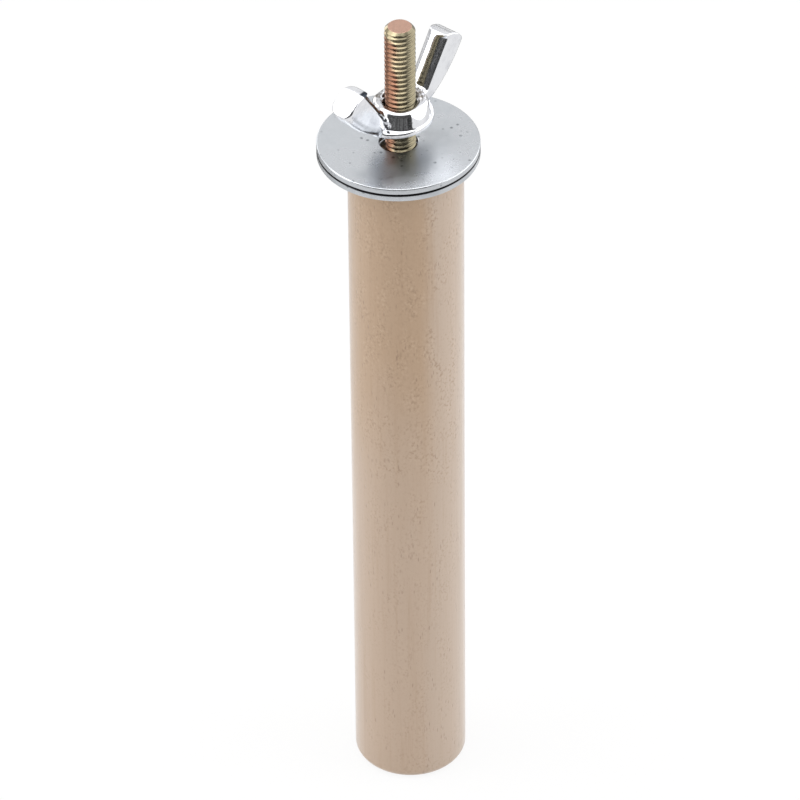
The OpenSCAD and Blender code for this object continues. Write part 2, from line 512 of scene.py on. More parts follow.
@dataclass(frozen=True)
class YellowZinc:
    """Steel with yellow zinc plating, tinted from copper at the left through olive to dull gold."""

    copper: Rgb = from_screen(124, 90, 72)
    olive: Rgb = from_screen(158, 147, 120)
    gold: Rgb = from_screen(123, 116, 96)
    # On the bolt this colour is used only for real grime specks
    grime_and_gap_shade: Rgb = from_screen(58, 40, 30)
    cut: Rgb = from_screen(176, 143, 127)
    patches: Grain = Grain(330, upward_share=0.7, detail=3, bend=0.6)
    specks: Grain = Grain(2600, detail=3)
    patch_swing: float = 0.12
    top_tint: float = 0.45
    top_depths: Pair = (2, 0.5)
    low_tint: float = 0.12
    low_depths: Pair = (10.5, 14.5)
    end_depths: Pair = (0.04, 0.01)
    to_olive: Ramp = Ramp(0.15, 0.45)
    to_gold: Ramp = Ramp(0.5, 0.85)
    grime_cover: Ramp = Ramp(0.6, 0.75, 0, 0.5)
    roughness: Ramp = Ramp(0.3, 0.7, 0.09, 0.29)
    end_roughness: float = 0.25
    relief: float = 0.02
    relief_strength: float = 0.6

    def material(self, top: Point, radius: float) -> bpy.types.Material:
        """Builds the material.

        Args:
            top: The middle of the bolt's top, in millimetres.
            radius: The bolt's radius, in millimetres.

        Returns:
            The material.
        """
        sheet = ShaderSheet("yellow_zinc")
        high, low, end = (
            sheet.axis_share(Axis.Z, top[2] - depths[0], top[2] - depths[1])
            for depths in (self.top_depths, self.low_depths, self.end_depths)
        )
        patches = sheet.spread(sheet.noise(self.patches), swing(self.patch_swing))
        tint = sheet.axis_share(Axis.X, top[0] - radius, top[0] + radius)
        tint = sheet.sum_of(Sum.ADD, tint, patches)
        tint = sheet.sum_of(Sum.ADD, tint, sheet.product(high, self.top_tint))
        tint = sheet.sum_of(Sum.ADD, tint, sheet.product(low, self.low_tint))
        colour = sheet.blend(sheet.spread(tint, self.to_olive), self.copper, self.olive)
        colour = sheet.blend(sheet.spread(tint, self.to_gold), colour, self.gold)
        specks = sheet.noise(self.specks)
        colour = sheet.blend(sheet.spread(specks, self.grime_cover), colour, self.grime_and_gap_shade)
        colour = sheet.blend(end, colour, self.cut)
        rough = sheet.spread(specks, self.roughness)
        sheet.principled(
            Base_Color=colour,
            Metallic=1.0,
            Roughness=sheet.sum_of(Sum.ADD, rough, sheet.product(end, self.end_roughness)),
            Normal=sheet.bumps(specks, self.relief, self.relief_strength),
        )
        return sheet.material


@dataclass(frozen=True)
class WasherSteel:
    """Satin zinc plated steel with small pits, and painted shade in the gap where the two washers meet."""

    light: Rgb = from_screen(195, 198, 202)
    dark: Rgb = from_screen(182, 186, 190)
    # Painted shade: the dark colour of the gap between the two washers
    grime_and_gap_shade: Rgb = from_screen(30, 30, 32)
    pit: Rgb = from_screen(112, 116, 120)
    clouds: Grain = Grain(220, detail=4, roughness=0.6)
    pits: Grain = Grain(900)
    pit_fields: Grain = Grain(500)
    texture: Grain = Grain(5200, detail=3, roughness=0.6)
    dark_cover: Ramp = Ramp(0.35, 0.7)
    pit_edge: Ramp = Ramp(0.12, 0.26, 1, 0)
    pit_cover: Ramp = Ramp(0.48, 0.6)
    pit_share: float = 0.8
    roughness: Ramp = Ramp(0.3, 0.75, 0.25, 0.4)
    relief: float = 0.02
    relief_strength: float = 0.5
    joint_inset: float = 0.35
    joint_fade: float = 0.1
    joint_edge: Ramp = Ramp(0.115, 0.23, 1, 0)

    def material(self, joint: Point, radius: float) -> bpy.types.Material:
        """Builds the material.

        Args:
            joint: The middle of the plane where the two washers meet, in millimetres.
            radius: The washers' radius, in millimetres.

        Returns:
            The material.
        """
        sheet = ShaderSheet("washer_steel")
        clouds = sheet.noise(self.clouds)
        colour = sheet.blend(sheet.spread(clouds, self.dark_cover), self.light, self.dark)
        pits = sheet.spread(sheet.cells(self.pits), self.pit_edge)
        pits = sheet.product(pits, sheet.spread(sheet.noise(self.pit_fields), self.pit_cover))
        colour = sheet.blend(sheet.product(pits, self.pit_share), colour, self.pit)
        # Painted shade: a dark line in the gap where the two washers meet
        colour = sheet.blend(self.gap_shade_mask(sheet, joint, radius), colour, self.grime_and_gap_shade)
        height = sheet.sum_of(Sum.TAKE, sheet.noise(self.texture), pits)
        sheet.principled(
            Base_Color=colour,
            Metallic=1.0,
            Roughness=sheet.spread(clouds, self.roughness),
            Normal=sheet.bumps(height, self.relief, self.relief_strength),
        )
        return sheet.material

    def gap_shade_mask(self, sheet: ShaderSheet, joint: Point, radius: float) -> Socket:
        """Marks the painted shade in the gap at the rims where the two washers meet.

        Args:
            sheet: The material.
            joint: The middle of the plane where they meet, in millimetres.
            radius: The washers' radius, in millimetres.

        Returns:
            1 at the joint and 0 elsewhere.
        """
        start = radius - self.joint_inset
        rim = sheet.ring_share(joint, start, start + self.joint_fade, outside=True)
        gap = sheet.sum_of(Sum.TAKE, sheet.coordinate(Axis.Z), joint[2] * MM)
        return sheet.product(rim, sheet.reach(sheet.sum_of(Sum.SIZE, gap, 0.0), self.joint_edge))


@dataclass(frozen=True)
class PaintedReflectionStrip:
    """A narrow strip of painted dark reflection along the near side of a wing's inner edge.

    It starts at the edge's root. The fields after the directions say where it fades in, outwards and
    upwards, how far it reaches below the edge and which part of the wing's thickness it keeps to.
    """

    root: Point
    outwards: Point
    below: Point
    across: Point
    outward_start: Ramp = Ramp(-0.2, 0.1)
    upward_start: Pair = (-0.1, 0.2)
    depth: Ramp = Ramp(0.87, 1.03, 1, 0)
    near_side: Ramp = Ramp(-0.6, -0.3, 1, 0)

    def mask(self, sheet: ShaderSheet) -> Socket:
        """Marks the strip.

        Args:
            sheet: The material.

        Returns:
            1 on the strip and 0 elsewhere.
        """
        level = self.root[2]
        return sheet.product(
            sheet.reach(sheet.along(self.outwards, self.root), self.outward_start),
            sheet.reach(sheet.along(self.below, self.root), self.depth),
            sheet.reach(sheet.along(self.across, self.root), self.near_side),
            sheet.axis_share(Axis.Z, level + self.upward_start[0], level + self.upward_start[1]),
        )


@dataclass(frozen=True)
class BrightPlating:
    """Bright plating over a cast nut, with a faint cast texture, painted shade in the recess behind the
    bolt and a painted dark reflection along the left wing's inner edge.
    """

    base: Rgb = from_screen(226, 227, 230)
    dull: Rgb = from_screen(202, 203, 208)
    # Painted shade: the dark colour of the recess behind the bolt
    recess_shade: Rgb = from_screen(118, 112, 106)
    # Painted reflection: the dark colour of the strip along the left wing's inner edge
    painted_reflection: Rgb = from_screen(52, 57, 64)
    clouds: Grain = Grain(420, detail=4, roughness=0.6)
    waves: Grain = Grain(700)
    texture: Grain = Grain(4200)
    mottle: Grain = Grain(1600, detail=3, roughness=0.6)
    dull_cover: Ramp = Ramp(0.4, 0.75)
    roughness: Ramp = Ramp(0.35, 0.75, 0.06, 0.22)
    wave_relief: float = 0.06
    wave_strength: float = 0.35
    texture_relief: float = 0.01
    texture_strength: float = 0.4
    recess_radius_shares: Pair = (0.9, 1.1)
    recess_places: Pair = (-1.2, 0.4)
    recess_depths: Pair = (1.1, 0.7)
    recess_cover: Ramp = Ramp(0.35, 0.62, 0.15, 1)

    def material(self, top: Point, reach: float, wing: PaintedReflectionStrip) -> bpy.types.Material:
        """Builds the material.

        Args:
            top: The middle of the hub's top, in millimetres.
            reach: How far the painted shade in the recess round the bolt reaches from there.
            wing: Where the left wing's painted dark reflection runs.

        Returns:
            The material.
        """
        sheet = ShaderSheet("bright_plating")
        clouds = sheet.noise(self.clouds)
        colour = sheet.blend(sheet.spread(clouds, self.dull_cover), self.base, self.dull)
        # Painted shade: a darker mottle in the recess behind the bolt
        colour = sheet.blend(self.recess_shade_mask(sheet, top, reach), colour, self.recess_shade)
        # Painted reflection: a dark strip along the left wing's inner edge
        colour = sheet.blend(wing.mask(sheet), colour, self.painted_reflection)
        normal = sheet.bumps(sheet.noise(self.waves), self.wave_relief, self.wave_strength)
        texture = sheet.noise(self.texture)
        sheet.principled(
            Base_Color=colour,
            Metallic=1.0,
            Roughness=sheet.spread(clouds, self.roughness),
            Normal=sheet.bumps(texture, self.texture_relief, self.texture_strength, over=normal),
        )
        return sheet.material

    def recess_shade_mask(self, sheet: ShaderSheet, top: Point, reach: float) -> Socket:
        """Marks the mottled painted shade in the recess behind the bolt.

        Args:
            sheet: The material.
            top: The middle of the hub's top, in millimetres.
            reach: The recess's radius.

        Returns:
            Up to 1 in the recess and 0 elsewhere.
        """
        start, end = (reach * share for share in self.recess_radius_shares)
        return sheet.product(
            sheet.ring_share(top, start, end, outside=False),
            sheet.axis_share(Axis.Y, top[1] + self.recess_places[0], top[1] + self.recess_places[1]),
            sheet.axis_share(Axis.Z, top[2] - self.recess_depths[0], top[2] - self.recess_depths[1]),
            sheet.spread(sheet.noise(self.mottle), self.recess_cover),
        )


def make_piece(name: str, points: np.ndarray, faces: Sequence[Sequence[int]]) -> bpy.types.Object:
    """Makes a smooth shaded mesh object from points in millimetres.

    Args:
        name: The object's name.
        points: One row for each point, in millimetres.
        faces: The points of each face.

    Returns:
        The object, linked to the scene.
    """
    mesh = bpy.data.meshes.new(name)
    mesh.from_pydata((np.asarray(points) * MM).tolist(), [], faces)
    editing = bmesh.new()
    editing.from_mesh(mesh)
    bmesh.ops.remove_doubles(editing, verts=editing.verts, dist=SAME_PLACE)
    bmesh.ops.recalc_face_normals(editing, faces=editing.faces)
    editing.to_mesh(mesh)
    editing.free()
    mesh.shade_smooth()
    piece = bpy.data.objects.new(name, mesh)
    bpy.context.scene.collection.objects.link(piece)
    return piece


def place_piece(
    piece: bpy.types.Object, node: Node, body: Body, finish: bpy.types.Material
) -> None:
    """Dresses a piece and puts it on its body in place of its solid.

    Args:
        piece: The piece.
        node: The solid that it stands for.
        body: The body that it rides on.
        finish: Its material.
    """
    piece.data.materials.clear()
    piece.data.materials.append(finish)
    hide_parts(node.value)
    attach(piece, body.value)


def grid_faces(columns: int, rows: int, closed: bool) -> list[tuple[int, int, int, int]]:
    """Gives the quads between neighbouring columns of points.

    Args:
        columns: How many columns there are.
        rows: How many points each column has.
        closed: Whether the last column joins the first.

    Returns:
        The faces, with point numbers that run up each column in turn.
    """
    last = columns if closed else columns - 1
    faces = []
    for column in range(last):
        start, after = column * rows, (column + 1) % columns * rows
        faces += [(start + r, after + r, after + r + 1, start + r + 1) for r in range(rows - 1)]
    return faces


def turned(outline: np.ndarray, axis: Pair, segments: int, shape: Shaper | None = None) -> np.ndarray:
    """Turns an outline about an upright axis.

    Args:
        outline: Rows of radius and height, in millimetres.
        axis: Where the axis stands, in X and Y.
        segments: Steps round the axis.
        shape: Changes radii, given the radii, heights and angles, or None.

    Returns:
        The points, column by column.
    """
    angles = np.linspace(0, 2 * np.pi, segments, endpoint=False)
    radius, angle = np.meshgrid(outline[:, 0], angles)
    height, _ = np.meshgrid(outline[:, 1], angles)
    if shape:
        radius = shape(radius, height, angle)
    x = axis[0] + radius * np.cos(angle)
    y = axis[1] + radius * np.sin(angle)
    return np.stack([x, y, height], -1).reshape(-1, 3)


def arc(middle: Pair, radius: float, start: float, end: float, steps: int) -> list[Pair]:
    """Gives the points of an arc in a section.

    Args:
        middle: The arc's middle, as radius and height.
        radius: The arc's own radius.
        start: Its first direction, in degrees from outwards towards up.
        end: Its last direction.
        steps: How many stretches it has.

    Returns:
        The points from start to end.
    """
    turns = np.radians(np.linspace(start, end, steps + 1))
    return [(middle[0] + radius * math.cos(t), middle[1] + radius * math.sin(t)) for t in turns]


@dataclass
class Dowel:
    """The wooden dowel with its rounded free end."""

    low: Vector
    high: Vector
    bolt_axis: Pair
    rounding: float = 1.2
    top_chamfer: float = 0.3
    hole_radius: float = 2.05
    hole_depth: float = 3
    wobble: float = 0.02
    wave_twists: Pair = (0.05, 0.09)
    segments: int = 160
    side_points: int = 60
    edge_steps: int = 10
    foot_shares: tuple[float, ...] = (0, 0.3, 0.6)
    top_shares: tuple[float, ...] = (0.75, 0.5)
    sharp_angle: float = 40
    finish: SandedWood = SandedWood()

    @property
    def radius(self) -> float:
        """The dowel's radius in millimetres."""
        return (self.high.x - self.low.x) / 2

    def outline(self) -> np.ndarray:
        """Gives the half section, from the middle of the free end to a ring round the hole.

        Returns:
            Rows of radius and height.
        """
        r, top = self.radius, self.high.z
        foot = [(r * share, 0) for share in self.foot_shares]
        edge = arc((r - self.rounding, self.rounding), self.rounding, -90, 0, self.edge_steps)
        heights = np.linspace(self.rounding, top - self.top_chamfer, self.side_points)
        side = [(r, z) for z in heights[1:]]
        end = [(r - self.top_chamfer, top)] + [(r * share, top) for share in self.top_shares]
        return np.array(foot + edge + side + end)

    def uneven(self, radius: np.ndarray, height: np.ndarray, angle: np.ndarray) -> np.ndarray:
        """Takes a little off the side, as hand sanding does.

        Args:
            radius: Radii of the points.
            height: Heights of the points.
            angle: Directions of the points.

        Returns:
            The new radii, never larger.
        """
        one, two = (height * twist for twist in self.wave_twists)
        waves = np.sin(2 * angle + one) + np.sin(3 * angle - two + 1)
        return radius * (1 - self.wobble / self.radius * (waves + 2) / 4)

    def build(self) -> bpy.types.Object:
        """Builds and dresses the dowel.

        Returns:
            The piece.
        """
        outline = self.outline()
        points = turned(outline, (0, 0), self.segments, self.uneven)
        rows = len(outline)
        faces: list[Sequence[int]] = list(grid_faces(self.segments, rows, closed=True))
        rim = [column * rows + rows - 1 for column in range(self.segments)]
        first = len(points)
        floor = self.high.z - self.hole_depth
        wall = np.array([(self.hole_radius, self.high.z), (self.hole_radius, floor)])
        hole = turned(wall, self.bolt_axis, self.segments)
        points = np.vstack([points, hole, [(*self.bolt_axis, floor)]])
        for column in range(self.segments):
            after = (column + 1) % self.segments
            a, b = first + 2 * column, first + 2 * after
            faces.append((rim[column], rim[after], b, a))
            faces.append((a, b, b + 1, a + 1))
            faces.append((a + 1, b + 1, len(points) - 1))
        piece = make_piece("dowel", points, faces)
        piece.data.set_sharp_from_angle(angle=math.radians(self.sharp_angle))
        place_piece(piece, Node.DOWEL, Body.PERCH, self.finish.material())
        return piece


@dataclass(frozen=True)
class Thread:
    """A thread's profile, which repeats once each pitch.

    The corners are where the flanks and the crest's flat start and end, as shares of the pitch, and
    the softness is the share of the pitch to both sides that the profile is averaged over.
    """

    start: float
    pitch: float
    radius: float
    depth: float
    corners: tuple[float, float, float, float]
    softness: float
    samples: int = 9
    column_points: int = 14

    def lowered(self, share: np.ndarray) -> np.ndarray:
        """Gives how deep the thread is at a share of its pitch.

        Args:
            share: Places within the pitch, from 0 to 1.

        Returns:
            Depths from 0 at the crest to 1 at the root.
        """
        crest = (self.corners[1] + self.corners[2]) / 2
        root = (self.corners[3] + 1) / 2
        shallow, deep = self.softened(np.array([crest, root]))
        return np.clip((self.softened(share) - shallow) / (deep - shallow), 0, 1)

    def softened(self, share: np.ndarray) -> np.ndarray:
        """Gives the profile's depth, averaged over the places around.

        Args:
            share: Places within the pitch.

        Returns:
            Depths, not yet stretched from 0 to 1.
        """
        # Places run from -wrap up for one pitch, so that the first flank's start has both its neighbours
        wrap = 0.25
        places = np.array([-wrap, *self.corners, 1])
        depths = np.array([1, 1, 0, 0, 1, 1])
        steps = self.softness * np.linspace(-1, 1, self.samples)
        around = [np.interp((share + step + wrap) % 1 - wrap, places, depths) for step in steps]
        return np.mean(around, axis=0)

    def radius_at(self, height: np.ndarray, angle: np.ndarray) -> np.ndarray:
        """Gives the thread's radius at a height and a direction.

        Args:
            height: Heights in millimetres.
            angle: Directions in radians.

        Returns:
            Radii in millimetres.
        """
        share = ((height - self.start) / self.pitch - angle / (2 * np.pi)) % 1
        return self.radius - self.depth * self.lowered(share)

    def column(self, low: float, high: float, turn_share: float, shape: Shaper) -> np.ndarray:
        """Gives the points up the thread's side at a share of a turn.

        Args:
            low: Height where the thread starts.
            high: Height where it ends.
            turn_share: Share of a turn, from 0 to 1.
            shape: Changes radii, given the radii and heights.

        Returns:
            Rows of radius and height.
        """
        shares = np.arange(self.column_points) / self.column_points
        turns = np.arange(-1, math.ceil((high - low) / self.pitch) + 1)
        height = low + self.pitch * (turns[:, None] + turn_share + shares[None, :]).ravel()
        radius = self.radius - self.depth * self.lowered(np.tile(shares, len(turns)))
        core = self.radius - self.depth
        radius = np.where((height <= low) | (height >= high), core, radius)
        height = np.clip(height, low, high)
        return np.stack([shape(radius, height), height], -1)


@dataclass
class HangerBolt:
    """The bolt: wood screw thread, plain shank and machine thread."""

    axis: Pair
    top: float
    machine: Thread
    wood: Thread
    shank_radius: float = 1.75
    wood_length: float = 15.5
    point_length: float = 3.5
    point_radius: float = 0.35
    tip_radius: float = 1.5
    edge: float = 0.03
    steps: int = 72
    sharp_angle: float = 50
    finish: YellowZinc = YellowZinc()

    def narrowed(self, radius: np.ndarray, height: np.ndarray) -> np.ndarray:
        """Narrows the wood screw towards its point.

        Args:
            radius: Radii of the thread.
            height: Heights of the points.

        Returns:
            The narrowed radii.
        """
        share = np.clip((height - self.wood.start) / self.point_length, 0, 1)
        return self.point_radius + (radius - self.point_radius) * share

    def chamfered(self, radius: np.ndarray, height: np.ndarray) -> np.ndarray:
        """Cuts the chamfer at the bolt's top.

        Args:
            radius: Radii of the thread.
            height: Heights of the points.

        Returns:
            The radii within the chamfer.
        """
        return np.minimum(radius, self.tip_radius + self.top - height)

    def column(self, share: float) -> np.ndarray:
        """Gives the bolt's side at a share of a turn, from its point to its top.

        Args:
            share: Share of a turn, from 0 to 1.

        Returns:
            Rows of radius and height.
        """
        wood_high = self.wood.start + self.wood_length
        wood = self.wood.column(self.wood.start, wood_high, share, self.narrowed)
        shank = [(self.shank_radius, wood_high), (self.shank_radius, self.machine.start)]
        machine = self.machine.column(self.machine.start, self.top, share, self.chamfered)
        cap = [(self.tip_radius, self.top), (self.tip_radius - self.edge, self.top), (0, self.top)]
        return np.vstack([[(0, self.wood.start)], wood, shank, machine, cap])

    def build(self) -> bpy.types.Object:
        """Builds and dresses the bolt.

        Returns:
            The piece.
        """
        columns = []
        for step in range(self.steps + 1):
            side = self.column(step / self.steps)
            angle = 2 * math.pi * step / self.steps
            x = self.axis[0] + side[:, 0] * math.cos(angle)
            y = self.axis[1] + side[:, 0] * math.sin(angle)
            columns.append(np.stack([x, y, side[:, 1]], -1))
        rows = len(columns[0])
        piece = make_piece("bolt", np.vstack(columns), grid_faces(self.steps + 1, rows, closed=False))
        piece.data.set_sharp_from_angle(angle=math.radians(self.sharp_angle))
        finish = self.finish.material((*self.axis, self.top), self.machine.radius)
        place_piece(piece, Node.BOLT, Body.PERCH, finish)
        return piece


@dataclass
class Washer:
    """A punched washer with rounded edges."""

    name: str
    node: Node
    body: Body
    low: Vector
    high: Vector
    hole_radius: float = 2.5
    rounding: float = 0.16
    hole_rounding: float = 0.15
    flat_inset: float = 0.02
    flat_points: int = 10
    rim_steps: int = 8
    hole_steps: int = 4
    segments: int = 192

    def outline(self) -> np.ndarray:
        """Gives the closed section, from the hole's edge round and back.

        Returns:
            Rows of radius and height.
        """
        outer = min(self.high.x - self.low.x, self.high.y - self.low.y) / 2
        low, high, inner = self.low.z, self.high.z, self.hole_radius
        r, h = self.rounding, self.hole_rounding
        flat = np.linspace(inner + h + self.flat_inset, outer - r - self.flat_inset, self.flat_points)
        return np.array([
            *arc((inner + h, low + h), h, 180, 270, self.hole_steps),
            *((x, low) for x in flat),
            *arc((outer - r, low + r), r, -90, 0, self.rim_steps),
            *arc((outer - r, high - r), r, 0, 90, self.rim_steps),
            *((x, high) for x in flat[::-1]),
            *arc((inner + h, high - h), h, 90, 180, self.hole_steps),
            (inner, low + h),
        ])

    def build(self, finish: bpy.types.Material) -> bpy.types.Object:
        """Builds and dresses the washer.

        Args:
            finish: Its material, which both washers share.

        Returns:
            The piece.
        """
        outline = self.outline()
        axis = ((self.low.x + self.high.x) / 2, (self.low.y + self.high.y) / 2)
        points = turned(outline, axis, self.segments)
        piece = make_piece(self.name, points, grid_faces(self.segments, len(outline), closed=True))
        place_piece(piece, self.node, self.body, finish)
        return piece


def rounded_union(first: np.ndarray, second: np.ndarray, fillet: float) -> np.ndarray:
    """Joins two distance fields with a fillet between them.

    Args:
        first: Distances to the first shape.
        second: Distances to the second shape.
        fillet: How far the fillet reaches.

    Returns:
        Distances to both shapes together.
    """
    share = np.clip(0.5 + 0.5 * (second - first) / fillet, 0, 1)
    return second + (first - second) * share - fillet * share * (1 - share)


def progress(value: np.ndarray, start: float, end: float) -> np.ndarray:
    """Gives how far values are on their way from a start to an end.

    Args:
        value: The values.
        start: Where the share is 0.
        end: Where the share is 1.

    Returns:
        The shares, clamped from 0 to 1.
    """
    return np.clip((value - start) / (end - start), 0, 1)


def polygon_distance(x: np.ndarray, y: np.ndarray, corners: Sequence[Pair]) -> np.ndarray:
    """Gives the distance to a polygon, negative inside.

    Args:
        x: First coordinates.
        y: Second coordinates.
        corners: The polygon's corners in order.

    Returns:
        The distances.
    """
    nearest = np.full(x.shape, np.inf, x.dtype)
    sign = np.ones(x.shape, x.dtype)
    for (ax, ay), (bx, by) in zip(corners, [*corners[1:], corners[0]]):
        ex, ey, wx, wy = bx - ax, by - ay, x - ax, y - ay
        share = np.clip((wx * ex + wy * ey) / (ex * ex + ey * ey), 0, 1)
        nearest = np.minimum(nearest, (wx - ex * share) ** 2 + (wy - ey * share) ** 2)
        above, below, left = y >= ay, y < by, ex * wy > ey * wx
        crossed = (above & below & left) | (~above & ~below & ~left)
        sign = np.where(crossed, -sign, sign)
    return sign * np.sqrt(nearest)


def rounded_slab(flat: np.ndarray, across: np.ndarray, rounding: float) -> np.ndarray:
    """Joins two distances at right angles into a solid with a rounded edge.

    Args:
        flat: Distances to the outline.
        across: Distances to the two faces.
        rounding: The edge's radius.

    Returns:
        The solid's distances.
    """
    a, b = flat + rounding, across + rounding
    outside = np.sqrt(np.maximum(a, 0) ** 2 + np.maximum(b, 0) ** 2)
    return np.minimum(np.maximum(a, b), 0) + outside - rounding


class SurfaceNet:
    """Turns a distance field into a mesh that lies on its surface.

    Slopes are measured over a share of a step to both sides. One below the least slope counts as it.
    """

    probe_share = 0.25
    least_slope = 0.2

    def __init__(self, field: Shaper, low: Point, high: Point, step: float) -> None:
        """Samples the field.

        Args:
            field: Gives distances for arrays of X, Y and Z.
            low: The lowest corner of the box to look in.
            high: The highest corner.
            step: The distance between samples.
        """
        self.field = field
        self.step = step
        self.low = np.array(low, np.float64)
        axes = [np.arange(a, b + step, step) for a, b in zip(low, high)]
        grids = np.meshgrid(*axes, indexing="ij")
        self.values = field(*grids)

    def crossings(self) -> tuple[np.ndarray, np.ndarray]:
        """Finds the cells that the surface crosses.

        Returns:
            The cells' places in the grid, and a point of the surface in each.
        """
        inside = self.values < 0
        corners = [(i, j, k) for i in (0, 1) for j in (0, 1) for k in (0, 1)]
        nx, ny, nz = (n - 1 for n in self.values.shape)
        count = sum(inside[i:i + nx, j:j + ny, k:k + nz].astype(np.int8) for i, j, k in corners)
        cells = np.argwhere((count > 0) & (count < 8))
        total = np.zeros(cells.shape)
        found = np.zeros(len(cells))
        for number, start in enumerate(corners):
            for end in corners[number + 1:]:
                way = np.subtract(end, start)
                if abs(way).sum() != 1:
                    continue
                a = self.values[tuple((cells + start).T)]
                b = self.values[tuple((cells + end).T)]
                cut = (a < 0) != (b < 0)
                share = np.where(cut, a / np.where(cut, a - b, 1), 0)
                total += np.where(cut[:, None], np.array(start) + share[:, None] * way, 0)
                found += cut
        return cells, self.low + self.step * (cells + total / found[:, None])

    def slope(self, points: np.ndarray) -> np.ndarray:
        """Gives the field's gradient.

        Args:
            points: Where to look.

        Returns:
            One gradient for each point.
        """
        reach = self.step * self.probe_share
        parts = []
        for axis in range(3):
            shift = np.zeros(3)
            shift[axis] = reach
            rise = self.field(*(points + shift).T) - self.field(*(points - shift).T)
            parts.append(rise / (2 * reach))
        return np.stack(parts, -1)

    def settled(self, points: np.ndarray, rounds: int = 3) -> np.ndarray:
        """Moves points onto the surface.

        Args:
            points: The points.
            rounds: How often they are moved.

        Returns:
            The moved points.
        """
        for _ in range(rounds):
            slope = self.slope(points)
            reach = self.field(*points.T) / np.maximum((slope ** 2).sum(-1), self.least_slope)
            reach = np.clip(reach, -self.step, self.step)
            points = points - slope * reach[:, None]
        return points

    def mesh(self) -> tuple[np.ndarray, np.ndarray]:
        """Builds the mesh.

        Returns:
            The points, and the quads between them.
        """
        cells, points = self.crossings()
        number = np.full(np.array(self.values.shape) - 1, -1, np.int64)
        number[tuple(cells.T)] = np.arange(len(cells))
        inside = self.values < 0
        quads = []
        for axis in range(3):
            one, two = (axis + 1) % 3, (axis + 2) % 3
            along = np.eye(3, dtype=int)[axis]
            first = inside[tuple(slice(0, n - a) for n, a in zip(inside.shape, along))]
            second = inside[tuple(slice(a, n) for n, a in zip(inside.shape, along))]
            edges = np.argwhere(first != second)
            edges = edges[(edges[:, one] > 0) & (edges[:, two] > 0)]
            around = [np.zeros(3, int) for _ in range(4)]
            around[1][one] = around[2][one] = around[2][two] = around[3][two] = -1
            quad = np.stack([number[tuple((edges + a).T)] for a in around], -1)
            leaves = first[tuple(edges.T)]
            quads.append(np.where(leaves[:, None], quad, quad[:, ::-1]))
        return self.settled(points), np.vstack(quads)


